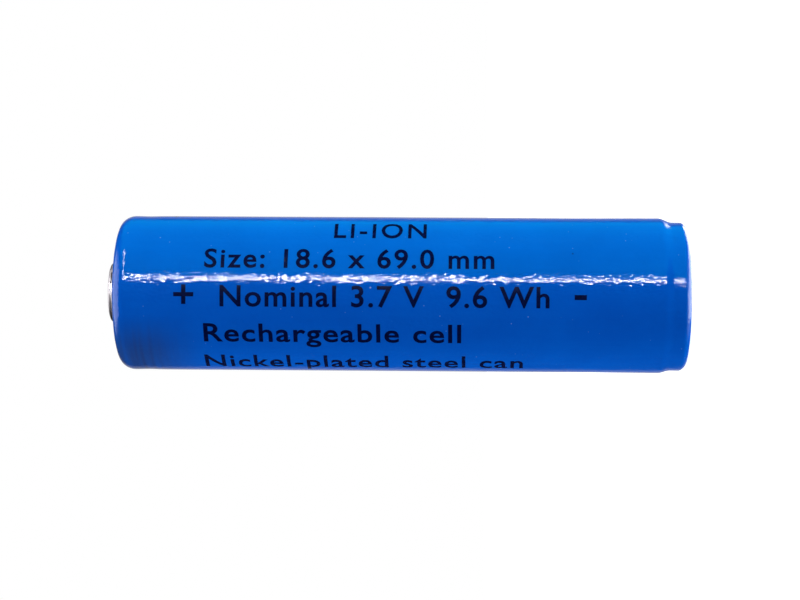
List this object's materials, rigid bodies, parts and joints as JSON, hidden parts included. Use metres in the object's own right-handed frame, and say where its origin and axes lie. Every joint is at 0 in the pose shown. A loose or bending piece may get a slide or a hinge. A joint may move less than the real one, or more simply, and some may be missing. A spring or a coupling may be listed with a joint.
{
  "type": "cylindrical lithium-ion battery cell",
  "caption": "Cylindrical rechargeable cell with a button positive end, a flat negative contact, a side strip and a protection board under a glossy shrink sleeve.",
  "frame": {"origin": "centre of the flat negative contact face, on the cell's axis", "axes": "+Z along the cell's axis, from the negative contact face to the positive button; +Y towards the side strip under the sleeve"},
  "size_m": [0.0186, 0.0187, 0.069],
  "materials": {
    "sleeve_film": "blue heat-shrunk PVC film, glossy with fine shrink wrinkles",
    "nickel_plated_steel": "deep-drawn steel with satin nickel plating",
    "nickel_strip": "rolled nickel strip",
    "header_aluminium": "stamped aluminium",
    "barley_paper": "pale insulating fibre paper",
    "board_laminate": "glass-epoxy board with green solder mask",
    "moulded_package": "black moulding compound",
    "chip_ceramic": "fired ceramic chip",
    "solder": "bright tin solder",
    "spacer_plastic": "white moulded spacer",
    "insulating_tape": "amber polyimide tape",
    "insulator_plastic": "white polyester sheet",
    "gasket_polymer": "natural polypropylene",
    "ptc_polymer": "carbon-filled polymer between thin nickel faces",
    "separator_film": "white microporous polyolefin film",
    "cathode_coating": "matt black oxide coating on aluminium foil",
    "anode_coating": "matt grey graphite coating on copper foil"
  },
  "bodies": {
    "root": {"outer_sleeve": "sleeve_film", "negative_contact_plate": "nickel_plated_steel", "contact_solder": "solder", "circuit_board": "board_laminate", "mosfets": "moulded_package", "protection_ic": "moulded_package", "resistors": "chip_ceramic", "capacitors": "chip_ceramic", "board_spacer": "spacer_plastic", "board_insulating_disc": "barley_paper", "negative_board_tab": "nickel_strip", "positive_strip": "nickel_strip", "strip_insulator": "insulating_tape", "tab_solder": "solder", "can": "nickel_plated_steel", "gasket": "gasket_polymer", "top_cap": "nickel_plated_steel", "ptc_ring": "ptc_polymer", "vent_disc": "header_aluminium", "cid_insulator": "gasket_polymer", "cid_plate": "header_aluminium", "inner_separator": "separator_film", "outer_separator": "separator_film", "cathode_sheet": "cathode_coating", "anode_sheet": "anode_coating", "centre_pin": "nickel_plated_steel", "winding_tape": "insulating_tape", "bottom_insulator": "insulator_plastic", "top_insulator": "insulator_plastic", "positive_tab": "header_aluminium", "negative_tab": "nickel_strip", "insulating_washer": "barley_paper", "button_cap": "nickel_plated_steel"}
  },
  "joints": []
}
